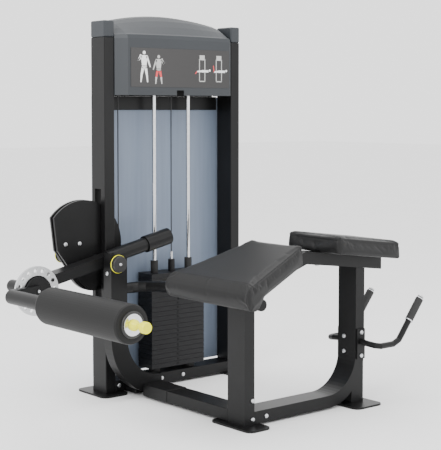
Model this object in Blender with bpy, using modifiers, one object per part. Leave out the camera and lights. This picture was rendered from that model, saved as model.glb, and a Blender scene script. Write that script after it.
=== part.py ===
"""Lying leg curl machine with a selectorised weight stack, as an assembly of its separate pieces.

Units are metres, +Z is up, +X runs from the user's feet to the head, and +Y runs from the bench
to the weight tower. Pieces are placed in the bench's frame, whose zero is the floor corner of the
front leg, and one parent empty moves them all so that the footprint's centre is the origin.
"""
from math import atan2, cos, pi, radians, sin

import bmesh
import bpy
from mathutils import Vector

# ---- driving dimensions -------------------------------------------------------------------
ORIGIN = (0.11632, 0.43970)           # middle of the footprint, in the bench's frame
GAP = 0.0003                        # clearance between pieces that touch
RUN = 0.0001                        # radial clearance of a turning fit
TUBE = (0.100, 0.050)               # main rectangular tube, wide side and narrow side
FLOOR = 0.008                       # thickness of the foot plates, which the floor tubes lie on

HEAD_LEG_X = 0.606
RAIL_BEND = 0.155                   # inner radius of the rail's bend
CREST = (0.3204, 0.6556)            # top of the pad beam, where it turns down to the head
RISE = 1 / 3                        # the beam's slopes, height over length
FALL = 0.1259
BEAM_X = (0.012, 0.757)

PIVOT = (-0.128, 0.579)             # X and Z of the lever's shaft, which runs along Y
UPRIGHT_X = (-0.161, -0.081)
UPRIGHT_Y = (0.651, 0.706)
UPRIGHT_BEND = 0.179                # inner radius
SHAFT_R = 0.012
SHAFT_Y = (0.6515, 1.0745)
HUB_R = 0.025
HUB_Y = (0.709, 1.031)
LEVER_Y = (0.711, 0.777)
LEVER_SLOPE = radians(12.5)
CAM_R = 0.190
CAM_CENTRE = (-0.184, 0.647)
CAM_CORE_R = 0.130                  # floor of the cam's slot, round about the shaft
CAM_Y = (0.817, 0.853)
CAM_SLOT = (0.828, 0.842)
RING_REACH = 0.374                  # shaft to the adjuster ring's middle, along the lever
RING_R = (0.099, 0.062)             # outer and inner
RING_HOLES = (16, 0.081, 0.0085)    # count, hole circle and hole radius
RING_Y = (0.684, 0.696)
AXLE = (-0.612, 0.488)              # X and Z of the roller's axis
AXLE_R = 0.0285
ROLLER_Y = (-0.125, 0.400)
FOAM_R = 0.070

COLUMN_X = (-0.100, 0.596)          # left faces of the two tower columns
COLUMN_Y = (0.782, 0.882)
COLUMN_TOP = 1.520
CABLE_Y = 0.835
CABLE_R = 0.0025
PULLEY_R = 0.045                    # to the cable's middle
PULLEY_Z = 1.460
STACK_X = (0.146, 0.438)
STACK_Y = (0.785, 0.885)
STACK_BOTTOM = 0.078
PLATES = 19
PLATE_PITCH = 0.0209
LOOSE_PLATES = 5                    # these are modelled one by one, the rest as one grooved block
LIFTED_PLATES = 2
ROD_R = 0.0095
ROD_SPREAD = 0.095
STEM_R = 0.0110
ROD_TOP = 1.402


# ---- scene ---------------------------------------------------------------------------------
for old in list(bpy.data.objects):
    bpy.data.objects.remove(old, do_unlink=True)

parts = bpy.data.collections.new("lying_leg_curl")
cutters = bpy.data.collections.new("cutters")
bpy.context.scene.collection.children.link(parts)
bpy.context.scene.collection.children.link(cutters)
machine = bpy.data.objects.new("machine", None)
machine.location = (-ORIGIN[0], -ORIGIN[1], 0)
parts.objects.link(machine)


def material(name, colour, roughness, metallic=0.0):
    """A plain Principled material."""
    made = bpy.data.materials.new(name)
    made.use_nodes = True
    shader = made.node_tree.nodes["Principled BSDF"]
    shader.inputs["Base Color"].default_value = (*colour, 1)
    shader.inputs["Roughness"].default_value = roughness
    shader.inputs["Metallic"].default_value = metallic
    return made


BLACK_COAT = material("black_powder_coat", (0.012, 0.012, 0.012), 0.45)
VINYL = material("black_vinyl", (0.010, 0.010, 0.010), 0.5)
FOAM = material("black_foam", (0.014, 0.014, 0.014), 0.75)
RUBBER = material("black_rubber", (0.008, 0.008, 0.008), 0.8)
HOOD_PLASTIC = material("grey_plastic", (0.028, 0.032, 0.038), 0.45)
PANEL_SHEET = material("blue_grey_panel", (0.19, 0.23, 0.29), 0.5)
STEEL = material("bright_steel", (0.55, 0.55, 0.55), 0.25, 1.0)
IRON = material("stack_iron", (0.016, 0.016, 0.018), 0.5)
YELLOW = material("yellow_plastic", (0.80, 0.78, 0.0), 0.35)
CABLE = material("cable_sheath", (0.006, 0.006, 0.006), 0.4)


# ---- modelling helpers ---------------------------------------------------------------------
def adopt(obj, name, finish, collection=parts):
    """Name an object, give it its material and its parent, and put it in one collection."""
    obj.name = name
    for other in list(obj.users_collection):
        other.objects.unlink(obj)
    collection.objects.link(obj)
    obj.parent = machine
    if finish is not None:
        obj.data.materials.clear()
        obj.data.materials.append(finish)
    if collection is cutters:
        obj.hide_render = True
        obj.display_type = "WIRE"
    return obj


def box(name, low, high, finish, bevel=0.0, collection=parts):
    """A block between two corners, with its edges rounded by a bevel of two steps."""
    middle = [(a + b) / 2 for a, b in zip(low, high)]
    bpy.ops.mesh.primitive_cube_add(size=1, location=middle)
    obj = bpy.context.object
    for vertex in obj.data.vertices:
        vertex.co = Vector([c * (b - a) for c, a, b in zip(vertex.co, low, high)])
    if bevel:
        edge = obj.modifiers.new("edges", "BEVEL")
        edge.width = bevel
        edge.segments = 2
    return adopt(obj, name, finish, collection)


def cylinder(name, start, end, radius, finish, sides=32, collection=parts):
    """A round bar from one point to another."""
    start, end = Vector(start), Vector(end)
    axis = end - start
    bpy.ops.mesh.primitive_cylinder_add(vertices=sides, radius=radius, depth=axis.length,
                                        location=(start + end) / 2,
                                        rotation=axis.to_track_quat("Z", "Y").to_euler())
    obj = bpy.context.object
    obj.data.shade_smooth()
    obj.data.set_sharp_from_angle(angle=radians(40))
    return adopt(obj, name, finish, collection)


def arc(centre, radius, first, last, steps):
    """Points of a round stretch, from one angle to another in degrees."""
    return [(centre[0] + radius * cos(radians(first + (last - first) * i / steps)),
             centre[1] + radius * sin(radians(first + (last - first) * i / steps)))
            for i in range(steps + 1)]


def to_mesh(curve_object, name, finish, collection):
    """The curve's evaluated shape as a welded mesh object in the same place."""
    bpy.context.view_layer.update()
    evaluated = curve_object.evaluated_get(bpy.context.evaluated_depsgraph_get())
    mesh = bpy.data.meshes.new_from_object(evaluated)
    obj = bpy.data.objects.new(name, mesh)
    obj.matrix_world = curve_object.matrix_world.copy()
    bpy.data.objects.remove(curve_object, do_unlink=True)
    shape = bmesh.new()
    shape.from_mesh(mesh)
    bmesh.ops.remove_doubles(shape, verts=shape.verts, dist=0.00001)
    bmesh.ops.recalc_face_normals(shape, faces=shape.faces)
    shape.to_mesh(mesh)
    shape.free()
    mesh.shade_smooth()
    mesh.set_sharp_from_angle(angle=radians(30))
    parts.objects.link(obj)
    return adopt(obj, name, finish, collection)


def profile(name, loops, low_y, high_y, finish, collection=parts):
    """A flat outline in X and Z, with holes as further loops, as thick as the two Y values say."""
    curve = bpy.data.curves.new(name, "CURVE")
    curve.dimensions = "2D"
    curve.fill_mode = "BOTH"
    curve.extrude = (high_y - low_y) / 2
    for points in loops:
        spline = curve.splines.new("POLY")
        spline.points.add(len(points) - 1)
        for point, (x, z) in zip(spline.points, points):
            point.co = (x, z, 0, 1)
        spline.use_cyclic_u = True
    obj = bpy.data.objects.new(name, curve)
    obj.location = (0, (low_y + high_y) / 2, 0)
    obj.rotation_euler = (pi / 2, 0, 0)
    parts.objects.link(obj)
    return to_mesh(obj, name, finish, collection)


def tube(name, points, radius, finish, resolution=3):
    """A round tube or wire with closed ends along a list of points."""
    curve = bpy.data.curves.new(name, "CURVE")
    curve.dimensions = "3D"
    curve.bevel_depth = radius
    curve.bevel_resolution = resolution
    curve.use_fill_caps = True
    spline = curve.splines.new("POLY")
    spline.points.add(len(points) - 1)
    for point, place in zip(spline.points, points):
        point.co = (*place, 1)
    obj = bpy.data.objects.new(name, curve)
    parts.objects.link(obj)
    return to_mesh(obj, name, finish, parts)


def turned(name, steps, centre_xz, finish, sides=40, collection=parts):
    """A piece turned about a line along Y. Each step gives a place on Y and a radius there."""
    shape = bmesh.new()
    rings = []
    for y, radius in steps:
        ring = []
        for i in range(sides):
            angle = 2 * pi * i / sides
            ring.append(shape.verts.new((radius * cos(angle), y, radius * sin(angle))))
        rings.append(ring)
    for ring, following in zip(rings, rings[1:]):
        for i in range(sides):
            j = (i + 1) % sides
            shape.faces.new((ring[i], ring[j], following[j], following[i]))
    if steps[0] == steps[-1]:
        bmesh.ops.remove_doubles(shape, verts=shape.verts, dist=0.00001)
    else:
        shape.faces.new(rings[0])
        shape.faces.new(rings[-1])
    bmesh.ops.recalc_face_normals(shape, faces=shape.faces)
    mesh = bpy.data.meshes.new(name)
    shape.to_mesh(mesh)
    shape.free()
    mesh.shade_smooth()
    mesh.set_sharp_from_angle(angle=radians(40))
    obj = bpy.data.objects.new(name, mesh)
    obj.location = (centre_xz[0], 0, centre_xz[1])
    parts.objects.link(obj)
    return adopt(obj, name, finish, collection)


def combine(target, tool, operation):
    """Cut one piece by another, or weld the other one on."""
    step = target.modifiers.new(operation.lower(), "BOOLEAN")
    step.operation = operation
    step.object = tool
    if tool.users_collection[0] is not cutters:
        adopt(tool, tool.name, None, cutters)
    return target


def cut(target, tool):
    return combine(target, tool, "DIFFERENCE")


def weld(target, tool):
    return combine(target, tool, "UNION")


def rounded_foot(name, low, high, corner):
    """A floor plate with cut corners."""
    plate = box(name, (*low, 0), (*high, FLOOR), BLACK_COAT)
    edge = plate.modifiers.new("corners", "BEVEL")
    edge.width = corner
    edge.segments = 3
    edge.limit_method = "ANGLE"
    edge.affect = "EDGES"
    upright = plate.data.attributes.new("bevel_weight_edge", "FLOAT", "EDGE")
    for index, line in enumerate(plate.data.edges):
        a, b = (plate.data.vertices[i].co for i in line.vertices)
        upright.data[index].value = 1.0 if abs(a.z - b.z) > FLOOR / 2 else 0.0
    edge.limit_method = "WEIGHT"
    return plate


# ---- bench ---------------------------------------------------------------------------------
def beam_top(x):
    """Height of the pad beam's top face over the bench's length."""
    slope = RISE if x < CREST[0] else -FALL
    return CREST[1] + (x - CREST[0]) * slope


def beam_bottom(x):
    return beam_top(x) - (0.0527 if x < CREST[0] else 0.0504)


def bench():
    wide, narrow = TUBE
    floor = FLOOR + GAP
    # The front leg's top is stepped: the brace lies on the low part, the pad beam on the high one.
    step = 0.0098
    outline = [(0, FLOOR - 0.002), (narrow, FLOOR - 0.002), (narrow, beam_bottom(narrow) - GAP * 2),
               (step, beam_bottom(step) - GAP * 2), (step, 0.4693), (0, 0.4693)]
    leg = profile("front_leg", [outline], 0, wide, BLACK_COAT)
    weld(leg, rounded_foot("front_foot", (-0.035, -0.070), (0.080, 0.170), 0.026))

    outer = RAIL_BEND + narrow
    corner = (HEAD_LEG_X - RAIL_BEND, floor + outer)
    outline = [(narrow + GAP, floor)]
    outline += arc(corner, outer, 270, 360, 14)
    outline += [(HEAD_LEG_X + narrow, beam_bottom(HEAD_LEG_X + narrow) - GAP * 2),
                (HEAD_LEG_X, beam_bottom(HEAD_LEG_X) - GAP * 2)]
    outline += arc(corner, RAIL_BEND, 360, 270, 14)
    outline += [(narrow + GAP, floor + narrow)]
    profile("bench_rail", [outline], 0, wide, BLACK_COAT)

    # The post under the bend follows the rail's round from just outside it.
    outline = [(0.5855, FLOOR - 0.002), (HEAD_LEG_X + narrow, FLOOR - 0.002)]
    outline += arc(corner, outer + 0.0008, -5, -48, 8)
    post = profile("head_foot", [outline], 0.004, wide - 0.004, BLACK_COAT)
    weld(post, rounded_foot("head_plate_foot", (0.535, -0.080), (0.690, 0.170), 0.026))

    start, end = BEAM_X
    under = CREST[0] + 0.0023 / (RISE + FALL)
    outline = [(start, beam_top(start)), CREST, (end, beam_top(end)), (end, beam_bottom(end)),
               (under, beam_bottom(under)), (start, beam_bottom(start))]
    profile("pad_beam", [outline], 0, wide, BLACK_COAT)

    tube("brace_tube", [(-0.028, -0.130, 0.494), (-0.010, 0.200, 0.4925), (0.020, 0.450, 0.488),
                        (0.017, 0.560, 0.483), (0.008, 0.620, 0.477), (-0.012, 0.660, 0.473),
                        (-0.040, 0.6785, 0.470), (UPRIGHT_X[1] + GAP, 0.6785, 0.470)],
         0.0225, BLACK_COAT, 5)


def cross_members():
    wide, narrow = TUBE
    floor = FLOOR + GAP
    rail = box("cross_rail", (0, wide + GAP, floor), (wide, 0.500, floor + narrow), BLACK_COAT, 0.003)
    weld(rail, box("cross_sleeve", (-0.002, 0.487, floor - 0.0002), (wide + 0.002, UPRIGHT_Y[0] - GAP,
                                                                   floor + narrow + 0.002), BLACK_COAT, 0.003))
    depth = UPRIGHT_X[1] - UPRIGHT_X[0]
    outer = UPRIGHT_BEND + depth
    corner = (UPRIGHT_X[1] + UPRIGHT_BEND, FLOOR + outer)
    outline = [(UPRIGHT_X[0], 0.625)]
    outline += arc(corner, outer, 180, 270, 18)
    outline += arc(corner, UPRIGHT_BEND, 270, 180, 18)
    outline += [(UPRIGHT_X[1], 0.605)]
    bore = arc(PIVOT, SHAFT_R + RUN, 0, 352.5, 47)
    profile("pivot_upright", [outline, bore], *UPRIGHT_Y, BLACK_COAT)
    box("tower_tie", (0, UPRIGHT_Y[1] + GAP, FLOOR), (0.098, COLUMN_Y[0] - GAP, FLOOR + narrow),
        BLACK_COAT, 0.003)


# ---- tower ---------------------------------------------------------------------------------
def tower():
    wide, narrow = TUBE
    for side, x in zip(("left", "right"), COLUMN_X):
        column = box(f"tower_column_{side}", (x, COLUMN_Y[0], FLOOR - 0.002),
                     (x + narrow, COLUMN_Y[1], COLUMN_TOP), BLACK_COAT, 0.003)
        if side == "left":
            cut(column, box("cam_slot", (x - 0.01, 0.812, 0.380), (x + narrow + 0.01, 0.858, 0.880),
                            None, 0, cutters))
        weld(column, rounded_foot(f"tower_foot_{side}", (x - 0.042, 0.736), (x + narrow + 0.042, 0.947),
                                  0.026))
        box(f"column_cap_{side}", (x - 0.001, COLUMN_Y[0] - 0.001, COLUMN_TOP + GAP),
            (x + narrow + 0.001, COLUMN_Y[1] + 0.001, COLUMN_TOP + 0.070), HOOD_PLASTIC, 0.006)
    inside = (COLUMN_X[0] + narrow + GAP, COLUMN_X[1] - GAP)
    box("base_beam", (inside[0], COLUMN_Y[0], FLOOR + GAP), (inside[1], COLUMN_Y[1], FLOOR + narrow),
        BLACK_COAT, 0.003)
    box("crossbar", (inside[0], 0.8855, 1.214), (inside[1], 0.9000, 1.274), BLACK_COAT, 0.002)
    # The panel laps behind both columns, and is notched where the bearing arm passes it.
    panel = box("rear_panel", (-0.085, 0.9003, 0.060), (0.640, 0.9033, 1.272), PANEL_SHEET)
    cut(panel, box("panel_notch", (-0.100, 0.890, 0.550), (-0.046, 0.910, 0.610), None, 0, cutters))

    # The hidden bridge carries the guide rods and the two pulleys.
    bridge = box("pulley_bridge", (-0.030, 0.795, ROD_TOP), (0.576, 0.899, ROD_TOP + 0.006), BLACK_COAT)
    weld(bridge, box("bridge_back", (-0.030, 0.893, 1.2743), (0.576, 0.899, ROD_TOP + 0.004), BLACK_COAT))
    for x in pulley_places():
        weld(bridge, box("pulley_cheek", (x - 0.022, CABLE_Y + 0.0115, ROD_TOP + 0.003),
                         (x + 0.022, CABLE_Y + 0.0165, PULLEY_Z + 0.020), BLACK_COAT))
        weld(bridge, cylinder("pulley_axle", (x, CABLE_Y - 0.014, PULLEY_Z), (x, CABLE_Y + 0.014, PULLEY_Z),
                              0.0080, BLACK_COAT, 32))
    for x in cable_places():
        cut(bridge, cylinder("cable_hole", (x, CABLE_Y, 1.3), (x, CABLE_Y, 1.409), 0.007, None, 16,
                             cutters))


def hood():
    """The moulded hood is an open shell: front face, canted ends and a crowned top."""
    ends = (-0.048, 0.594)
    middle, half = sum(ends) / 2, (ends[1] - ends[0]) / 2
    cant, front_y, back_y, bottom_z = 0.040, 0.740, 0.905, 1.277
    edge = 1 - cant / half
    stations = [-1.0, -edge] + [i / 8 - 0.75 for i in range(13)] + [edge, 1.0]
    shape = bmesh.new()
    rows = []
    for s in stations:
        x = middle + s * half
        front = front_y + max(0, abs(s) - edge) * half * 1.05
        crown, brow = 1.628 - 0.040 * s * s, 1.541 - 0.003 * s * s
        points = [(front, bottom_z), (front, brow - 0.022), (front + 0.006, brow - 0.006),
                  (front + 0.020, brow)]
        points += [(front + 0.020 + (back_y - front - 0.020) * t, brow + (crown - brow) * sin(t * pi / 2))
                   for t in (0.25, 0.5, 0.75, 1.0)]
        rows.append([shape.verts.new((x, y, z)) for y, z in points])
    for row, following in zip(rows, rows[1:]):
        for a, b, c, d in zip(row, row[1:], following[1:], following):
            shape.faces.new((a, b, c, d))
    for row in (rows[0], rows[-1]):
        low = shape.verts.new((row[0].co.x, back_y, bottom_z))
        shape.faces.new((*row, low))
    bmesh.ops.recalc_face_normals(shape, faces=shape.faces)
    mesh = bpy.data.meshes.new("hood")
    shape.to_mesh(mesh)
    shape.free()
    obj = bpy.data.objects.new("hood", mesh)
    parts.objects.link(obj)
    adopt(obj, "hood", HOOD_PLASTIC)
    wall = obj.modifiers.new("wall", "SOLIDIFY")
    wall.thickness = 0.004
    wall.offset = -1
    cut(obj, box("hood_notch", (0.252, 0.73, 1.267), (0.292, 0.76, 1.299), None, 0, cutters))


# ---- weight stack --------------------------------------------------------------------------
def drilled_plate(name, low_z, high_z, grooves=()):
    """One stack plate with its two rod holes and its stem hole, or several as a grooved block."""
    centre_x = sum(STACK_X) / 2
    plate = box(name, (STACK_X[0], STACK_Y[0], low_z), (STACK_X[1], STACK_Y[1], high_z), IRON)
    for x, radius in ((centre_x - ROD_SPREAD, ROD_R + 0.0015), (centre_x + ROD_SPREAD, ROD_R + 0.0015),
                      (centre_x, STEM_R + 0.0015)):
        cut(plate, cylinder(name + "_hole", (x, CABLE_Y, low_z - 0.01), (x, CABLE_Y, high_z + 0.01),
                            radius, None, 20, cutters))
    for z in grooves:
        groove = box(name + "_groove", (STACK_X[0] - 0.01, STACK_Y[0] - 0.01, z - 0.0007),
                     (STACK_X[1] + 0.01, STACK_Y[1] + 0.01, z + 0.0007), None, 0, cutters)
        cut(groove, box(name + "_core", (STACK_X[0] + 0.003, STACK_Y[0] + 0.003, z - 0.002),
                        (STACK_X[1] - 0.003, STACK_Y[1] - 0.003, z + 0.002), None, 0, cutters))
        cut(plate, groove)
    return plate


def stack():
    centre_x = sum(STACK_X) / 2
    top = STACK_BOTTOM + PLATES * PLATE_PITCH
    for i in range(LOOSE_PLATES):
        high = top - i * PLATE_PITCH - 0.0004
        plate = drilled_plate(f"stack_plate_{i + 1:02d}", high - PLATE_PITCH + 0.0008, high)
        cut(plate, cylinder("pin_hole", (centre_x, STACK_Y[0] - 0.01, high - PLATE_PITCH / 2),
                            (centre_x, CABLE_Y, high - PLATE_PITCH / 2), 0.0052, None, 16, cutters))
    low_top = top - LOOSE_PLATES * PLATE_PITCH - 0.0004
    drilled_plate("lower_plates", STACK_BOTTOM, low_top,
                  [STACK_BOTTOM + i * PLATE_PITCH for i in range(1, PLATES - LOOSE_PLATES)])

    head = drilled_plate("head_plate", top + 0.0004, top + 0.0220)
    stem = cylinder("stem", (centre_x, CABLE_Y, STACK_BOTTOM + 0.010), (centre_x, CABLE_Y, top + 0.060),
                    STEM_R, IRON, 20)
    weld(stem, cylinder("stem_collar", (centre_x, CABLE_Y, top + 0.004), (centre_x, CABLE_Y, top + 0.075),
                        0.0150, IRON, 24))
    weld(head, stem)
    for side, x in (("left", centre_x - ROD_SPREAD), ("right", centre_x + ROD_SPREAD)):
        bush = turned("guide_bush_" + side,
                      [(0, ROD_R + 0.0004), (0, 0.0165), (0.053, 0.0165), (0.053, ROD_R + 0.0004),
                       (0, ROD_R + 0.0004)], (0, 0), RUBBER, 32)
        bush.rotation_euler = (pi / 2, 0, 0)
        bush.location = (x, CABLE_Y, top + 0.0220 + GAP)
        foot = FLOOR + TUBE[1] + GAP
        cylinder(f"guide_rod_{side}", (x, CABLE_Y, foot), (x, CABLE_Y, ROD_TOP - GAP), ROD_R, STEEL, 32)
        bumper = cylinder(f"stack_bumper_{side}", (x, CABLE_Y, foot), (x, CABLE_Y, STACK_BOTTOM - GAP),
                          0.026, RUBBER, 24)
        cut(bumper, cylinder("bumper_hole", (x, CABLE_Y, 0), (x, CABLE_Y, 0.2), ROD_R + GAP, None, 32,
                             cutters))
    pin_z = top - (LIFTED_PLATES - 0.5) * PLATE_PITCH
    turned("selector_pin", [(STACK_Y[0] - 0.046, 0.010), (STACK_Y[0] - 0.040, 0.013),
                            (STACK_Y[0] - 0.014, 0.011), (STACK_Y[0] - 0.008, 0.0045),
                            (CABLE_Y - STEM_R - 0.0012, 0.0045)], (centre_x, pin_z), YELLOW, 24)


def cable_places():
    """The X of the run down to the cam and of the run down to the stack."""
    return PIVOT[0] + CAM_CORE_R + CABLE_R + GAP, sum(STACK_X) / 2


def pulley_places():
    cam_run, stack_run = cable_places()
    return cam_run + PULLEY_R, stack_run - PULLEY_R


def cable_run():
    left, right = pulley_places()
    cam_x, stack_x = cable_places()
    floor_r = PULLEY_R - CABLE_R - GAP
    for side, x in (("left", left), ("right", right)):
        turned(f"top_pulley_{side}",
               [(CABLE_Y - 0.010, 0.0083), (CABLE_Y - 0.010, 0.050), (CABLE_Y - 0.0035, floor_r),
                (CABLE_Y + 0.0035, floor_r), (CABLE_Y + 0.010, 0.050), (CABLE_Y + 0.010, 0.0083),
                (CABLE_Y - 0.010, 0.0083)], (x, PULLEY_Z), BLACK_COAT, 48)
    top = [(x, CABLE_Y, z) for x, z in arc((left, PULLEY_Z), PULLEY_R, 180, 90, 9)]
    top += [(x, CABLE_Y, z) for x, z in arc((right, PULLEY_Z), PULLEY_R, 90, 0, 9)]
    tube("cable_top_run", top, CABLE_R, CABLE, 2)
    tube("cable_cam_run", [(cam_x, CABLE_Y, PIVOT[1]), (cam_x, CABLE_Y, PULLEY_Z - GAP)], CABLE_R, CABLE, 2)
    collar_top = STACK_BOTTOM + PLATES * PLATE_PITCH + 0.075
    cylinder("cable_socket", (stack_x, CABLE_Y, collar_top + GAP), (stack_x, CABLE_Y, collar_top + 0.034),
             0.0065, STEEL, 20)
    tube("cable_stack_run", [(stack_x, CABLE_Y, collar_top + 0.034 + GAP), (stack_x, CABLE_Y, PULLEY_Z - GAP)],
         CABLE_R, CABLE, 2)


# ---- lever ---------------------------------------------------------------------------------
def along_lever(reach, rise=0.0):
    """A point of the lever, by its reach from the shaft toward the roller and its rise above that line."""
    return (PIVOT[0] - reach * cos(LEVER_SLOPE) - rise * sin(LEVER_SLOPE),
            PIVOT[1] - reach * sin(LEVER_SLOPE) + rise * cos(LEVER_SLOPE))


def pivot():
    turned("pivot_shaft", [(SHAFT_Y[0], SHAFT_R), (SHAFT_Y[1], SHAFT_R)], PIVOT, STEEL, 48)
    turned("pivot_cap_near", [(0.6310, 0.0310), (0.6330, 0.0330), (0.6430, 0.0330), (0.6435, 0.0365),
                              (UPRIGHT_Y[0] - GAP, 0.0365)], PIVOT, BLACK_COAT)
    turned("pivot_cap_far", [(1.0753, 0.0340), (1.0820, 0.0340), (1.0825, 0.0310), (1.0900, 0.0290)],
           PIVOT, BLACK_COAT)
    bracket = box("rear_bearing_arm", (COLUMN_X[0], COLUMN_Y[1] + GAP, 0.555),
                  (COLUMN_X[0] + TUBE[1], 1.070, 0.605), BLACK_COAT, 0.003)
    weld(bracket, box("bearing_block", (PIVOT[0], 1.040, 0.560), (-0.070, 1.068, 0.600), BLACK_COAT))
    weld(bracket, turned("bearing_housing", [(1.035, 0.0320), (1.075, 0.0320)], PIVOT, BLACK_COAT))
    cut(bracket, turned("bearing_bore", [(1.0, SHAFT_R + RUN), (1.2, SHAFT_R + RUN)], PIVOT, None, 48, cutters))


def lever():
    centre = along_lever(RING_REACH)
    low, high = -0.0125, 0.0325
    corners = [along_lever(-0.030, low), along_lever(-0.030, high), along_lever(RING_REACH + 0.006, high),
               along_lever(RING_REACH + 0.006, low)]
    arm = profile("lever_arm", [corners], *LEVER_Y, BLACK_COAT)
    mid_y = sum(LEVER_Y) / 2
    start, end = along_lever(-0.010, 0.013), along_lever(-0.214, 0.013)
    weld(arm, cylinder("lever_tube", (start[0], mid_y, start[1]), (end[0], mid_y, end[1]), 0.0300, BLACK_COAT, 40))
    weld(arm, turned("swing_hub", [(HUB_Y[0], HUB_R), (HUB_Y[1], HUB_R)], PIVOT, BLACK_COAT, 48))
    back = RING_Y[1] + GAP
    weld(arm, turned("adjuster_barrel", [(back, 0.0720), (back + 0.008, 0.0720), (back + 0.008, 0.0255),
                                         (0.880, 0.0255)], centre, BLACK_COAT, 40))
    cut(arm, turned("hub_bore", [(0.6, SHAFT_R + RUN), (1.1, SHAFT_R + RUN)], PIVOT, None, 48, cutters))
    cut(arm, turned("barrel_bore", [(0.6, 0.0149), (0.876, 0.0149)], centre, None, 48, cutters))
    start, end = along_lever(-0.2144, 0.013), along_lever(-0.344, 0.013)
    cylinder("counterweight", (start[0], mid_y, start[1]), (end[0], mid_y, end[1]), 0.0360, BLACK_COAT, 40)

    # The cam's two cheeks share one outline, and the round core between them carries the cable.
    outline = arc(CAM_CENTRE, CAM_R, -84, 140, 44) + [(-0.330, 0.768), (-0.313, 0.631), (-0.225, 0.512)]
    cam = profile("cam", [outline], *CAM_Y, BLACK_COAT)
    slot = turned("cam_slot_ring", [(CAM_SLOT[0], CAM_CORE_R), (CAM_SLOT[0], 0.4), (CAM_SLOT[1], 0.4),
                                    (CAM_SLOT[1], CAM_CORE_R), (CAM_SLOT[0], CAM_CORE_R)], PIVOT, None, 64, cutters)
    cut(cam, slot)
    weld(cam, turned("cam_core", [(CAM_SLOT[0] - 0.003, CAM_CORE_R - 0.0002), (CAM_SLOT[1] + 0.003, CAM_CORE_R - 0.0002)],
                     PIVOT, BLACK_COAT, 64))
    cut(cam, turned("cam_bore", [(0.7, HUB_R + RUN), (0.9, HUB_R + RUN)], PIVOT, None, 48, cutters))


def roller():
    centre = along_lever(RING_REACH)
    count, circle, hole_r = RING_HOLES
    tilt = atan2(AXLE[1] - centre[1], AXLE[0] - centre[0])
    loops = [arc(centre, RING_R[0], 0, 354, 59), arc(centre, RING_R[1], 0, 350, 35)]
    for i in range(count):
        angle = 2 * pi * i / count + tilt
        place = (centre[0] + circle * cos(angle), centre[1] + circle * sin(angle))
        loops.append(arc(place, hole_r, 0, 330, 11))
    profile("adjuster_ring", loops, *RING_Y, STEEL)

    degrees = tilt * 180 / pi
    outline = [(centre[0] - 0.025 * sin(tilt), centre[1] + 0.025 * cos(tilt))]
    outline += arc(centre, 0.025, degrees + 90, degrees - 90, 12)[1:]
    outline += arc(AXLE, AXLE_R, degrees - 90, degrees + 90, 16)
    crank = profile("crank", [outline], 0.655, 0.680, BLACK_COAT)
    weld(crank, turned("crank_disc", [(0.672, 0.058), (0.6955, 0.058)], centre, BLACK_COAT, 48))
    weld(crank, turned("crank_shaft", [(0.690, 0.0148), (0.874, 0.0148)], centre, BLACK_COAT, 48))
    weld(crank, turned("roller_axle", [(ROLLER_Y[0] - 0.002, AXLE_R), (0.660, AXLE_R)], AXLE, BLACK_COAT, 40))
    cut(crank, turned("plunger_bore", [(-0.3, 0.0103), (ROLLER_Y[0] + 0.066, 0.0103)], AXLE, None, 24, cutters))
    pin = (centre[0] + circle * cos(tilt), centre[1] + circle * sin(tilt))
    cut(crank, turned("pin_bore", [(0.6, 0.0073), (0.7, 0.0073)], pin, None, 24, cutters))
    turned("lock_pin", [(0.6400, 0.0070), (RING_Y[0] - 0.0004, 0.0070)], pin, STEEL, 24)

    bore = AXLE_R + 0.0005
    low, high = ROLLER_Y
    turned("foam_roller", [(low, bore), (low, FOAM_R - 0.012), (low + 0.004, FOAM_R - 0.003),
                           (low + 0.012, FOAM_R), (high - 0.012, FOAM_R), (high - 0.004, FOAM_R - 0.003),
                           (high, FOAM_R - 0.012), (high, bore), (low, bore)], AXLE, FOAM, 48)
    end = low - 0.002 - GAP
    turned("roller_washer", [(end - 0.004, 0.0110), (end - 0.004, 0.0375), (end - 0.003, 0.0385), (end, 0.0385),
                             (end, 0.0110), (end - 0.004, 0.0110)], AXLE, STEEL)
    nose = end - 0.004 - GAP
    turned("pull_knob", [(nose + 0.060, 0.0100), (nose, 0.0100), (nose - 0.0005, 0.0205), (nose - 0.010, 0.0190),
                         (nose - 0.026, 0.0110), (nose - 0.044, 0.0105), (nose - 0.050, 0.0185),
                         (nose - 0.056, 0.0205), (nose - 0.074, 0.0205), (nose - 0.079, 0.0180)],
           AXLE, YELLOW, 32)


# ---- pads and handles ----------------------------------------------------------------------
def pads():
    """The thigh pad widens to the knees, where it rolls over; the torso pad is a plain slab."""
    roll = arc((-0.113, 0.5345), 0.051, 108, 322, 14)
    top_x, head_x = -0.082, 0.215
    outline = [(head_x, beam_top(head_x) + 0.0005 + 0.0759), (top_x, 0.598)] + roll
    outline += [(-0.050, beam_top(-0.050) + 0.0005), (head_x, beam_top(head_x) + 0.0005)]
    pad = profile("thigh_pad", [outline], -0.195, 0.295, VINYL)
    for vertex in pad.data.vertices:
        share = min(1, max(0, (vertex.co.x + 0.135) / (head_x + 0.135)))
        # The profile's own Z runs along minus Y from the middle of the pad.
        vertex.co.z *= (0.245 - 0.095 * share) / 0.245
    edge = pad.modifiers.new("edges", "BEVEL")
    edge.width = 0.012
    edge.segments = 3
    edge.limit_method = "ANGLE"
    edge.angle_limit = radians(50)

    ends = (0.400, 0.773)
    outline = [(x, beam_top(x) + 0.0006 + rise) for x, rise in ((ends[0], 0), (ends[1], 0), (ends[1], 0.070),
                                                               (ends[0], 0.070))]
    torso = profile("torso_pad", [outline], -0.100, 0.200, VINYL)
    edge = torso.modifiers.new("edges", "BEVEL")
    edge.width = 0.012
    edge.segments = 3
    edge.limit_method = "ANGLE"
    edge.angle_limit = radians(50)


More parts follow.
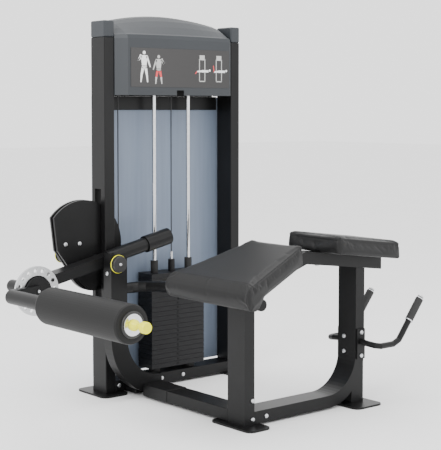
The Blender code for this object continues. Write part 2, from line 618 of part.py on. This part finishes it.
def handle(side, middle, sign):
    """A welded plate and a bent tube that leaves it sideways and turns up past the head leg."""
    face = middle + sign * (TUBE[0] / 2 + GAP)
    plate = box("handle_" + side, (0.610, min(face, face + sign * 0.006), 0.188),
                (0.655, max(face, face + sign * 0.006), 0.312), BLACK_COAT)
    out = middle + sign * 0.140
    path = [(0.631, face + sign * 0.003, 0.260), (0.631, out - sign * 0.040, 0.256), (0.640, out - sign * 0.014, 0.252),
            (0.660, out, 0.249), (0.735, out, 0.249), (0.768, out, 0.262), (0.790, out, 0.288), (0.905, out, 0.430)]
    weld(plate, tube("handle_tube", path, 0.0125, BLACK_COAT, 4))
    last = Vector(path[-1])
    way = (last - Vector(path[-2])).normalized()
    grip = cylinder("grip_" + side, last - way * 0.118, last - way * 0.014, 0.0165, RUBBER, 24)
    cut(grip, cylinder("grip_bore", last - way * 0.2, last + way * 0.1, 0.0131, None, 24, cutters))


bench()
cross_members()
tower()
hood()
stack()
cable_run()
pivot()
lever()
roller()
pads()
handle("near", 0.050, -1)
handle("far", 0.050, 1)
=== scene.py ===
"""The looks of a lying leg curl machine, built round its CAD frame. Metres, +Z up."""
from math import atan2, cos, pi, radians, sin

import bmesh
import bpy
from mathutils import Matrix, Vector


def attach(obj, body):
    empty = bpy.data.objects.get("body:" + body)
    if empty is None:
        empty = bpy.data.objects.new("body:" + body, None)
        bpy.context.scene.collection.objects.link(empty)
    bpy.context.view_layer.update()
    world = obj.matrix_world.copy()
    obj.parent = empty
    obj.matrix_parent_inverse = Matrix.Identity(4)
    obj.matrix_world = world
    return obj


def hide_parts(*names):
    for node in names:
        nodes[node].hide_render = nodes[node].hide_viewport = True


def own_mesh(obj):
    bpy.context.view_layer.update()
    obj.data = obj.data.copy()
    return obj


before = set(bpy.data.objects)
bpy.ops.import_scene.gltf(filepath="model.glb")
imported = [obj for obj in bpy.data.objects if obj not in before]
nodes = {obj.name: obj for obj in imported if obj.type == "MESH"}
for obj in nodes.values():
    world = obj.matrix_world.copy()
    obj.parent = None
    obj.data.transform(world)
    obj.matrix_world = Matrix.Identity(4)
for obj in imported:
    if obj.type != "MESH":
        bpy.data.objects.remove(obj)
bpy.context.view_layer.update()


# ---- Welded frame ---------------------------------------------------------------------------
# The legs, rails, columns and lever are mild steel tube and plate, welded and then bolted up.
# They are powder coated satin black, which leaves a fine orange peel and slightly paler wear.
def linear(code):
    """A Blender colour from an sRGB hex value."""
    parts = [int(code[i:i + 2], 16) / 255 for i in (1, 3, 5)]
    return (*[c / 12.92 if c <= 0.04045 else ((c + 0.055) / 1.055) ** 2.4 for c in parts], 1)


def add(tree, kind, links=(), **settings):
    """Adds a node. Settings are sockets or attributes; a link is (socket, another node's output)."""
    node = tree.nodes.new("ShaderNode" + kind)
    for name, value in settings.items():
        socket = name.replace("_", " ")
        if socket in node.inputs:
            node.inputs[socket].default_value = value
        else:
            setattr(node, name, value)
    for socket, output in links:
        tree.links.new(output, node.inputs[socket])
    return node


def start_material(name, **shader):
    """A new material with its Principled shader set, its node tree and its object coordinates."""
    made = bpy.data.materials.new(name)
    made.use_nodes = True
    tree = made.node_tree
    principled = tree.nodes["Principled BSDF"]
    for socket, value in shader.items():
        principled.inputs[socket.replace("_", " ")].default_value = value
    place = add(tree, "TexCoord").outputs["Object"]
    return made, tree, principled, place


def two_tone(tree, principled, factor, dark, light):
    """The colour runs between two near tones as a pattern says."""
    mix = add(tree, "Mix", [("Factor", factor)], data_type="RGBA")
    mix.inputs["A"].default_value = linear(dark)
    mix.inputs["B"].default_value = linear(light)
    tree.links.new(mix.outputs["Result"], principled.inputs["Base Color"])


def raised(tree, principled, height, depth_mm, strength=1.0):
    """The pattern's height as a bump of a real depth in millimetres."""
    bump = add(tree, "Bump", [("Height", height)], Strength=strength, Distance=depth_mm / 1000)
    tree.links.new(bump.outputs["Normal"], principled.inputs["Normal"])


def powder_coat():
    """Polyester powder coat, sprayed and baked. It is satin, with 2 mm orange peel."""
    made, tree, principled, place = start_material("satin_black_powder_coat", Roughness=0.38)
    principled.inputs["Specular IOR Level"].default_value = 0.22
    cloud = add(tree, "TexNoise", [("Vector", place)], Scale=9.0, Detail=3.0)
    two_tone(tree, principled, cloud.outputs["Fac"], "#0b0b0b", "#131314")
    peel = add(tree, "TexNoise", [("Vector", place)], Scale=480.0, Detail=2.0)
    raised(tree, principled, peel.outputs["Fac"], 0.15, 0.35)
    return made


def finish_node(names, made):
    """Gives carried-over CAD nodes their material."""
    for name in names:
        mesh = nodes[name].data
        mesh.materials.clear()
        mesh.materials.append(made)


coat = powder_coat()
finish_node(["front_leg", "bench_rail", "head_foot", "pad_beam", "brace_tube", "cross_rail", "pivot_upright",
             "tower_tie", "tower_column_left", "tower_column_right", "base_beam", "crossbar", "pulley_bridge",
             "rear_bearing_arm", "handle_near", "handle_far", "lever_arm", "counterweight", "cam", "crank"], coat)


# ---- Bolts ----------------------------------------------------------------------------------
# M10 button-head bolts with socket recesses hold the frame together. They are zinc plated, so they
# stand out pale on the black tube. One is turned up and the rest are copies of it.
def clear_selection():
    for chosen in list(bpy.context.selected_objects):
        chosen.select_set(False)


def bench_place(x, y, z):
    """Row coordinates of a place measured from the front leg's floor corner."""
    return Vector((x - 0.11632, y - 0.43970, z))


def settle(obj):
    """Puts an object's place into its mesh, so that the object sits at the origin."""
    bpy.context.view_layer.update()
    obj.data.transform(obj.matrix_world)
    obj.matrix_world = Matrix.Identity(4)
    return obj


def select_faces(obj, wanted):
    """In edit mode, leaves only the faces selected for which wanted(centre, normal) holds."""
    bpy.ops.object.mode_set(mode="OBJECT")
    for vertex in obj.data.vertices:
        vertex.select = False
    for edge in obj.data.edges:
        edge.select = False
    for face in obj.data.polygons:
        face.select = bool(wanted(face.center, face.normal))
    bpy.ops.object.mode_set(mode="EDIT")


def turn_up_bolt():
    """A button head 18 mm across and 6 mm high, along +Z, with a 9 mm socket."""
    clear_selection()
    bpy.ops.mesh.primitive_cylinder_add(vertices=24, radius=0.009, depth=0.006, location=(0, 0, 0.003))
    head = bpy.context.object
    bpy.ops.object.mode_set(mode="EDIT")
    bpy.ops.mesh.select_mode(type="FACE")
    select_faces(head, lambda c, n: n.z > 0.9)
    bpy.ops.mesh.bevel(offset=0.0035, segments=3)
    select_faces(head, lambda c, n: n.z > 0.999 and c.z > 0.0055)
    bpy.ops.mesh.inset(thickness=0.0012)
    bpy.ops.mesh.extrude_region_move(TRANSFORM_OT_translate={"value": (0, 0, -0.0030)})
    bpy.ops.object.mode_set(mode="OBJECT")
    bpy.ops.object.shade_smooth_by_angle(angle=radians(35))
    return settle(head)


def zinc_plate():
    """Bright zinc on turned steel: pale and fairly glossy, with fine tool marks."""
    made, tree, principled, place = start_material("zinc_plated_steel", Metallic=1.0, Roughness=0.30)
    marks = add(tree, "TexNoise", [("Vector", place)], Scale=900.0, Detail=1.0)
    two_tone(tree, principled, marks.outputs["Fac"], "#b4b6b8", "#dfe0e2")
    raised(tree, principled, marks.outputs["Fac"], 0.03, 0.4)
    return made


zinc = zinc_plate()
pattern_bolt = turn_up_bolt()
pattern_bolt.data.materials.append(zinc)
SIDE, END, UNDER, FAR = (0, -1, 0), (-1, 0, 0), (0, 0, -1), (0, 1, 0)


def fit_bolt(name, place, way, body="frame", flat=1.0):
    """A copy of the bolt at a place, its head facing the way given."""
    mesh = pattern_bolt.data.copy()
    turn = Vector((0, 0, 1)).rotation_difference(Vector(way)).to_matrix().to_4x4()
    mesh.transform(Matrix.Translation(bench_place(*place)) @ turn @ Matrix.Diagonal((1, 1, flat, 1)))
    bolt = bpy.data.objects.new(name, mesh)
    bpy.context.scene.collection.objects.link(bolt)
    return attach(bolt, body)


for number, (place, way) in enumerate([
        ((0.040, 0.0, 0.102), SIDE), ((0.040, 0.0, 0.029), SIDE), ((0.110, 0.0, 0.033), SIDE),
        ((0.606, 0.065, 0.276), END), ((0.606, 0.065, 0.213), END),
        ((0.632, -0.0063, 0.298), SIDE), ((0.632, -0.0063, 0.201), SIDE),
        ((0.632, 0.1063, 0.298), FAR), ((0.632, 0.1063, 0.201), FAR),
        ((-0.161, 0.678, 0.540), END), ((-0.033, 0.782, 0.035), SIDE), ((0.196, 0.782, 0.035), SIDE),
        ((0.315, 0.782, 0.035), SIDE), ((0.430, 0.050, 0.5912), UNDER)]):
    fit_bolt(f"frame_bolt_{number + 1:02d}", place, way)
for number, place in enumerate([(-0.275, 0.817, 0.656), (-0.206, 0.817, 0.655)]):
    fit_bolt(f"cam_bolt_{number + 1}", place, SIDE, "lever", 0.7)
bpy.data.objects.remove(pattern_bolt, do_unlink=True)


# ---- Rear panel -----------------------------------------------------------------------------
# One sheet of steel closes the tower's back behind the stack. It is painted blue-grey, with a
# satin face and faint roller marks down its height.
def panel_paint():
    made, tree, principled, place = start_material("blue_grey_sheet_paint", Roughness=0.45)
    stretch = add(tree, "Mapping", [("Vector", place)], Scale=(18.0, 18.0, 0.8))
    marks = add(tree, "TexNoise", [("Vector", stretch.outputs["Vector"])], Scale=3.0, Detail=2.0)
    two_tone(tree, principled, marks.outputs["Fac"], "#6b7789", "#7a8698")
    raised(tree, principled, marks.outputs["Fac"], 0.05, 0.3)
    return made


finish_node(["rear_panel"], panel_paint())


# ---- Hood and column caps -------------------------------------------------------------------
# The hood and the two caps are injection moulded ABS, dark grey with a fine spark-eroded grain.
# The hood is open at the back and below, and hangs on the crossbar between the columns.
def moulded_abs():
    made, tree, principled, place = start_material("dark_grey_moulded_abs", Roughness=0.46)
    principled.inputs["Specular IOR Level"].default_value = 0.40
    cloud = add(tree, "TexNoise", [("Vector", place)], Scale=5.0, Detail=2.0)
    two_tone(tree, principled, cloud.outputs["Fac"], "#25282c", "#2c3034")
    grain = add(tree, "TexNoise", [("Vector", place)], Scale=900.0, Detail=2.0)
    raised(tree, principled, grain.outputs["Fac"], 0.10, 0.4)
    return made


abs_plastic = moulded_abs()
finish_node(["hood", "column_cap_left", "column_cap_right"], abs_plastic)


def plain_gloss(name, dark, light, roughness, scale=600.0, depth_mm=0.03):
    """A moulded or printed face with two near tones and a faint texture of its own."""
    made, tree, principled, place = start_material(name, Roughness=roughness)
    cloud = add(tree, "TexNoise", [("Vector", place)], Scale=scale, Detail=2.0)
    two_tone(tree, principled, cloud.outputs["Fac"], dark, light)
    raised(tree, principled, cloud.outputs["Fac"], depth_mm, 0.3)
    return made


# ---- Placard --------------------------------------------------------------------------------
# A black polycarbonate sheet is let into the hood's front face. It is screen printed with plain
# figures that show the muscle worked and the two ends of the exercise.
placard_black = plain_gloss("black_polycarbonate_sheet", "#1f1e1e", "#262424", 0.30)
PLACARD_FACE = 0.7385


def slab(name, low, high, made, bevel):
    """A flat piece between two corners, with rounded edges."""
    clear_selection()
    bpy.ops.mesh.primitive_cube_add(size=1)
    obj = bpy.context.object
    obj.name = name
    for vertex in obj.data.vertices:
        vertex.co = Vector([a + (c + 0.5) * (b - a) for c, a, b in zip(vertex.co, low, high)])
    bpy.ops.object.mode_set(mode="EDIT")
    bpy.ops.mesh.select_all(action="SELECT")
    bpy.ops.mesh.bevel(offset=bevel, segments=2)
    bpy.ops.object.mode_set(mode="OBJECT")
    obj.data.transform(Matrix.Translation(bench_place(0, 0, 0)))
    obj.data.materials.append(made)
    return obj


placard = slab("placard", (0.006, PLACARD_FACE, 1.312), (0.548, 0.7404, 1.478), placard_black, 0.0005)
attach(placard, "frame")


def printed(name, outlines, made, place, size):
    """Flat printed shapes joined into one mesh, drawn in their own square of the given size."""
    shape = bmesh.new()
    for outline in outlines:
        shape.faces.new([shape.verts.new((place[0] + x * size, 0.7381, place[1] + z * size))
                         for x, z in outline])
    mesh = bpy.data.meshes.new(name)
    bmesh.ops.recalc_face_normals(shape, faces=shape.faces)
    for face in shape.faces:
        if face.normal.y > 0:
            face.normal_flip()
    bmesh.ops.solidify(shape, geom=shape.faces[:], thickness=0.0002)
    shape.to_mesh(mesh)
    shape.free()
    mesh.transform(Matrix.Translation(bench_place(0, 0, 0)))
    mesh.materials.append(made)
    obj = bpy.data.objects.new(name, mesh)
    bpy.context.scene.collection.objects.link(obj)
    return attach(obj, "frame")


def disc(x, z, radius, steps=14):
    turns = [2 * pi * i / steps for i in range(steps)]
    return [(x + radius * cos(turn), z + radius * sin(turn)) for turn in turns]


def limb(x0, z0, x1, z1, start, end):
    """A tapering bar from one joint to the next."""
    way = atan2(z1 - z0, x1 - x0)
    across = (-sin(way), cos(way))
    return [(x0 + across[0] * start, z0 + across[1] * start), (x1 + across[0] * end, z1 + across[1] * end),
            (x1 - across[0] * end, z1 - across[1] * end), (x0 - across[0] * start, z0 - across[1] * start)]


ink_white = plain_gloss("white_screen_ink", "#e4e4e4", "#f0f0f0", 0.5)
ink_grey = plain_gloss("grey_screen_ink", "#a9a9a7", "#b6b6b4", 0.5)
ink_red = plain_gloss("red_screen_ink", "#c8373b", "#d44448", 0.5)
torso = [limb(0, 0.86, 0, 0.52, 0.125, 0.085), limb(0, 0.54, 0, 0.46, 0.085, 0.10)]
arms = [limb(-0.10, 0.83, -0.22, 0.70, 0.035, 0.030), limb(-0.22, 0.70, -0.13, 0.88, 0.030, 0.022),
        limb(0.10, 0.83, 0.17, 0.66, 0.035, 0.030), limb(0.17, 0.66, 0.23, 0.50, 0.030, 0.020)]
thighs = [limb(-0.05, 0.48, -0.10, 0.26, 0.052, 0.038), limb(0.05, 0.48, 0.10, 0.26, 0.052, 0.038)]
calves = [limb(-0.10, 0.26, -0.13, 0.03, 0.038, 0.020), limb(0.10, 0.26, 0.13, 0.03, 0.038, 0.020)]
printed("figure_front", [disc(0, 0.94, 0.055)] + torso + arms + thighs + calves, ink_white,
        (0.075, 1.328), 0.138)
other_arms = [[(-x, z) for x, z in arm] for arm in arms]
printed("figure_back", [disc(0, 0.94, 0.055)] + torso + other_arms + calves, ink_grey, (0.152, 1.322), 0.128)
printed("figure_muscle", thighs, ink_red, (0.152, 1.322), 0.128)
tower_sign = [limb(-0.12, 1.0, 0.12, 1.0, 0.09, 0.09), limb(-0.13, 0.95, -0.13, 0.12, 0.018, 0.018),
              limb(0.13, 0.95, 0.13, 0.12, 0.018, 0.018), limb(-0.14, 0.12, 0.14, 0.12, 0.018, 0.018)]
for number, (x, foot) in enumerate([(0.392, (-0.34, 0.40)), (0.488, (-0.27, 0.72))]):
    lying = [limb(0.30, 0.50, -0.02, 0.50, 0.040, 0.045), disc(0.36, 0.53, 0.045),
             limb(-0.02, 0.50, -0.24, 0.48, 0.036, 0.026)]
    shin = [limb(-0.24, 0.48, foot[0], foot[1], 0.026, 0.018)]
    printed(f"exercise_tower_{number + 1}", tower_sign, ink_grey, (x, 1.326), 0.118)
    figure = printed(f"exercise_figure_{number + 1}", lying, ink_white, (x, 1.326), 0.118)
    marked = printed(f"exercise_shin_{number + 1}", shin, ink_red, (x, 1.326), 0.118)
    for mesh in (figure.data, marked.data):
        mesh.transform(Matrix.Translation((0, -0.0003, 0)))


# ---- Upholstery -----------------------------------------------------------------------------
# Each pad is a board with firm foam on it, covered in stretched black vinyl. The side panel is
# sewn to the top panel, and the seam pulls a shallow groove below the upper edge.
def upholstery_vinyl():
    """Calendered vinyl: a leather grain of 1.5 mm cells with a soft sheen."""
    made, tree, principled, place = start_material("black_upholstery_vinyl", Roughness=0.47)
    principled.inputs["Specular IOR Level"].default_value = 0.25
    principled.inputs["Sheen Weight"].default_value = 0.04
    principled.inputs["Sheen Roughness"].default_value = 0.4
    cells = add(tree, "TexVoronoi", [("Vector", place)], Scale=620.0)
    cloud = add(tree, "TexNoise", [("Vector", place)], Scale=7.0, Detail=3.0)
    two_tone(tree, principled, cloud.outputs["Fac"], "#0d0d0d", "#151516")
    raised(tree, principled, cells.outputs["Distance"], 0.25, 0.35)
    return made


vinyl = upholstery_vinyl()
SEAM_WIDTH = 0.008
SEAM_DEPTH = 0.0022


def upholster(name, node, seam_height, cap):
    """A pad swollen by cloth pressure from its CAD solid, by at most cap, and then its seam pressed in."""
    source = nodes[node]
    mesh = source.data.copy()
    shape = bmesh.new()
    shape.from_mesh(mesh)
    bmesh.ops.remove_doubles(shape, verts=shape.verts, dist=0.00002)
    bmesh.ops.recalc_face_normals(shape, faces=shape.faces)
    shape.to_mesh(mesh)
    shape.free()
    pad = bpy.data.objects.new(name, mesh)
    bpy.context.scene.collection.objects.link(pad)
    pad.matrix_world = source.matrix_world
    settle(pad)
    clear_selection()
    pad.select_set(True)
    bpy.context.view_layer.objects.active = pad
    mesh.remesh_voxel_size = 0.005
    bpy.ops.object.voxel_remesh()
    mesh = pad.data
    middle = sum((v.co for v in mesh.vertices), Vector()) / len(mesh.vertices)
    for vertex in mesh.vertices:
        away = vertex.co - middle
        vertex.co = middle + Vector((away.x * 0.985, away.y * 0.985, away.z * 0.985))
    held = pad.vertex_groups.new(name="board")
    held.add([v.index for v in mesh.vertices if v.normal.z < -0.75], 1.0, "REPLACE")
    before = [v.co.copy() for v in mesh.vertices]
    cloth = pad.modifiers.new("swell", "CLOTH")
    cloth.settings.use_pressure = True
    cloth.settings.uniform_pressure_force = 4.0
    cloth.settings.vertex_group_mass = "board"
    cloth.settings.tension_stiffness = 40
    cloth.settings.compression_stiffness = 40
    cloth.settings.effector_weights.gravity = 0
    cloth.point_cache.frame_start = 1
    cloth.point_cache.frame_end = 20
    for step in range(1, 21):
        bpy.context.scene.frame_set(step)
    bpy.ops.object.modifier_apply(modifier="swell")
    bpy.context.scene.frame_set(1)
    for vertex, start in zip(pad.data.vertices, before):
        moved = vertex.co - start
        if moved.length > cap:
            vertex.co = start + moved * (cap / moved.length)
    smooth = pad.modifiers.new("smooth", "SUBSURF")
    smooth.levels = smooth.render_levels = 1
    bpy.ops.object.modifier_apply(modifier="smooth")
    normals = [v.normal.copy() for v in pad.data.vertices]
    for vertex, normal in zip(pad.data.vertices, normals):
        across = seam_height(vertex.co)
        side = 1 - min(1, abs(normal.z) / 0.55)
        if abs(across) < SEAM_WIDTH and side > 0:
            vertex.co -= normal * (SEAM_DEPTH * side * (1 - abs(across) / SEAM_WIDTH) ** 2)
    for face in pad.data.polygons:
        face.use_smooth = True
    pad.data.materials.clear()
    pad.data.materials.append(vinyl)
    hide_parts(node)
    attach(pad, "frame")
    return pad


def thigh_seam(point):
    """How far a point lies above the thigh pad's seam, which runs 16 mm below its top."""
    top = 0.598 + (point.x + 0.11632 + 0.082) / 3
    return point.z - (top - 0.016)


def torso_seam(point):
    """The same for the torso pad, whose top falls toward the head."""
    top = 0.7162 - (point.x + 0.11632 - 0.400) * 0.1259
    return point.z - (top - 0.016)


upholster("thigh_cushion", "thigh_pad", thigh_seam, 0.006)
upholster("torso_cushion", "torso_pad", torso_seam, 0.006)


# ---- Roller ---------------------------------------------------------------------------------
# The roller is a moulded foam sleeve with a smooth skin, on a black hub. A chromed washer closes
# its end, and the yellow knob behind it draws the lock pin.
def skinned_foam():
    made, tree, principled, place = start_material("skinned_black_foam", Roughness=0.58)
    principled.inputs["Specular IOR Level"].default_value = 0.22
    pores = add(tree, "TexNoise", [("Vector", place)], Scale=420.0, Detail=3.0)
    two_tone(tree, principled, pores.outputs["Fac"], "#0e0e0e", "#171717")
    raised(tree, principled, pores.outputs["Fac"], 0.25, 0.35)
    return made


finish_node(["foam_roller"], skinned_foam())


def bright_chrome(name, dark, light, roughness, scale):
    """Polished or ground metal, with its fine marks as a second tone."""
    made, tree, principled, place = start_material(name, Metallic=1.0, Roughness=roughness)
    marks = add(tree, "TexNoise", [("Vector", place)], Scale=scale, Detail=2.0)
    two_tone(tree, principled, marks.outputs["Fac"], dark, light)
    raised(tree, principled, marks.outputs["Fac"], 0.02, 0.25)
    return made


chrome = bright_chrome("hard_chrome_plate", "#c9cbce", "#e2e3e5", 0.14, 90.0)
ground_steel = bright_chrome("ground_steel_plate", "#c2c3c5", "#dadbdc", 0.34, 700.0)
finish_node(["roller_washer", "guide_rod_left", "guide_rod_right", "cable_socket", "pivot_shaft",
             "lock_pin"], chrome)
finish_node(["adjuster_ring"], ground_steel)
yellow = plain_gloss("yellow_moulded_nylon", "#d8d400", "#e6e200", 0.32)
finish_node(["pull_knob", "selector_pin"], yellow)


def ring(name, centre, way, radius, thick, made, body):
    """A round-section ring about an axis."""
    clear_selection()
    turn = Vector((0, 0, 1)).rotation_difference(Vector(way))
    bpy.ops.mesh.primitive_torus_add(major_radius=radius, minor_radius=thick, major_segments=48,
                                     minor_segments=12, location=bench_place(*centre), rotation=turn.to_euler())
    made_ring = bpy.context.object
    made_ring.name = name
    bpy.ops.object.shade_smooth()
    settle(made_ring)
    made_ring.data.materials.append(made)
    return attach(made_ring, body)


black_plastic = plain_gloss("black_moulded_nylon", "#191919", "#212121", 0.40)
ring("roller_hub_rim", (-0.612, -0.1255, 0.488), SIDE, 0.043, 0.0045, black_plastic,
     "roller")


# ---- Pivot caps -----------------------------------------------------------------------------
# A black nylon cap covers each end of the lever's shaft. A yellow trim ring sits behind each, and a
# plated socket screw holds the near one.
finish_node(["pivot_cap_near", "pivot_cap_far"], black_plastic)
ring("cap_trim_near", (-0.128, 0.6468, 0.579), SIDE, 0.0362, 0.0022, yellow, "frame")
ring("cap_trim_far", (-0.128, 1.0790, 0.579), SIDE, 0.0336, 0.0022, yellow, "frame")


def screw(name, centre, way, size, body):
    """A small socket screw of the bolts' pattern."""
    bolt = turn_up_bolt()
    bolt.name = name
    turn = Vector((0, 0, 1)).rotation_difference(Vector(way)).to_matrix().to_4x4()
    bolt.data.transform(Matrix.Translation(bench_place(*centre)) @ turn @ Matrix.Scale(size, 4))
    bolt.data.materials.append(zinc)
    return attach(bolt, body)


screw("cap_screw_near", (-0.128, 0.6315, 0.579), SIDE, 0.72, "frame")
screw("crank_screw", (-0.49313, 0.6722, 0.49805), SIDE, 0.75, "roller_crank")


# ---- Weight stack ---------------------------------------------------------------------------
# The plates are cast iron, machined flat and painted black. Each has a pin hole in the middle of
# its front edge. The hole is not cut: on the lower fourteen plates, a near-black ring and disc of painted shade
# stand for the shade inside the bore.
def stack_paint():
    made, tree, principled, place = start_material("painted_cast_iron", Roughness=0.44)
    principled.inputs["Specular IOR Level"].default_value = 0.25
    cast = add(tree, "TexNoise", [("Vector", place)], Scale=260.0, Detail=4.0)
    two_tone(tree, principled, cast.outputs["Fac"], "#0f0f11", "#18181a")
    raised(tree, principled, cast.outputs["Fac"], 0.12, 0.35)
    return made


finish_node(["head_plate", "lower_plates"] + [f"stack_plate_{i:02d}" for i in range(1, 6)], stack_paint())
# Painted shade: a near-black matt material for the flat rings and discs that stand in for the shade inside the
# pin holes.
painted_bore_shade = plain_gloss("painted_pin_hole_shade", "#050505", "#080808", 0.8)
PLATE_PITCH = 0.0209
STACK_BOTTOM = 0.078
LOWER_PLATES = 14
for number in range(LOWER_PLATES):
    height = STACK_BOTTOM + (LOWER_PLATES - 0.5 - number) * PLATE_PITCH
    shade_ring = ring(f"pin_hole_painted_shade_{number + 6:02d}", (0.292, 0.7846, height), SIDE, 0.0038, 0.0016, painted_bore_shade,
                "frame")
    # The disc that closes the ring is a flat sheet of painted shade, not an opening.
    shade_ring_mesh = bmesh.new()
    shade_ring_mesh.from_mesh(shade_ring.data)
    middle = bench_place(0.292, 0.7843, height)
    bmesh.ops.create_circle(shade_ring_mesh, cap_ends=True, segments=16, radius=0.0042,
                            matrix=Matrix.Translation(middle) @ Matrix.Rotation(pi / 2, 4, "X"))
    shade_ring_mesh.to_mesh(shade_ring.data)
    shade_ring_mesh.free()


# ---- Rubber parts ---------------------------------------------------------------------------
# Grips, rod bushes and stack bumpers are moulded rubber, matt and faintly textured. The grips
# end in chromed rings, and the handle tubes in chromed plugs.
rubber = plain_gloss("moulded_black_rubber", "#151515", "#1d1d1d", 0.68, 500.0, 0.25)
finish_node(["grip_near", "grip_far", "guide_bush_left", "guide_bush_right", "stack_bumper_left",
             "stack_bumper_right"], rubber)
finish_node(["top_pulley_left", "top_pulley_right"], black_plastic)
lean = Vector((0.905 - 0.790, 0, 0.430 - 0.288)).normalized()
for side, y in (("near", -0.0903), ("far", 0.1903)):
    tip = Vector((0.905, y, 0.430))
    for label, back, radius, thick in (("lower", 0.120, 0.0146, 0.0030), ("upper", 0.012, 0.0146, 0.0026),
                                       ("plug", 0.003, 0.0105, 0.0028)):
        ring(f"grip_ring_{side}_{label}", tuple(tip - lean * back), tuple(lean), radius, thick, chrome,
             "frame")


# ---- Cable ----------------------------------------------------------------------------------
# A 5 mm steel cable in a black nylon sheath runs from the cam over two pulleys to the stack. Its
# last run shortens as the stack rises; a copy of it is made with a mesh of its own.
sheath = plain_gloss("nylon_cable_sheath", "#101010", "#171717", 0.35)
finish_node(["cable_top_run", "cable_cam_run"], sheath)
source = nodes["cable_stack_run"]
stack_cable = bpy.data.objects.new("stack_cable", source.data.copy())
bpy.context.scene.collection.objects.link(stack_cable)
stack_cable.matrix_world = source.matrix_world
settle(stack_cable)
stack_cable.data.materials.clear()
stack_cable.data.materials.append(sheath)
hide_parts("cable_stack_run")
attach(stack_cable, "frame")
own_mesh(stack_cable)


# ---- Studio ---------------------------------------------------------------------------------
# A pale floor and sky, one large soft light at the left and a weaker one at the right. The camera
# stands before the machine's foot end, a little above its middle.
clear_selection()
bpy.ops.mesh.primitive_plane_add(size=60)
floor = bpy.context.object
floor.name = "floor"
floor.data.materials.append(plain_gloss("pale_floor", "#f4f4f4", "#f8f8f8", 0.9, 2.0, 0.0))

world = bpy.data.worlds.new("studio")
world.use_nodes = True
world.node_tree.nodes["Background"].inputs["Color"].default_value = (1, 1, 1, 1)
world.node_tree.nodes["Background"].inputs["Strength"].default_value = 2.0
bpy.context.scene.world = world


def soft_light(name, place, target, size, power):
    lamp = bpy.data.lights.new(name, "AREA")
    lamp.size = size
    lamp.energy = power
    obj = bpy.data.objects.new(name, lamp)
    obj.location = place
    obj.rotation_euler = (Vector(target) - Vector(place)).to_track_quat("-Z", "Y").to_euler()
    bpy.context.scene.collection.objects.link(obj)


soft_light("key", (-4.0, -1.2, 3.2), (0, 0, 0.7), 2.4, 150)
soft_light("fill", (2.2, -4.2, 2.2), (0, 0, 0.6), 2.4, 25)
soft_light("top", (0.2, 0.2, 4.4), (0, 0, 0.8), 2.6, 60)

camera = bpy.data.cameras.new("camera")
camera.sensor_width = 36
camera.lens = 96.72
camera.shift_y = -0.0965
view = bpy.data.objects.new("camera", camera)
view.location = (-3.1023, -3.8677, 1.215)
view.rotation_euler = (radians(90 - 3.4), 0, radians(-39.9))
bpy.context.scene.collection.objects.link(view)
bpy.context.scene.camera = view
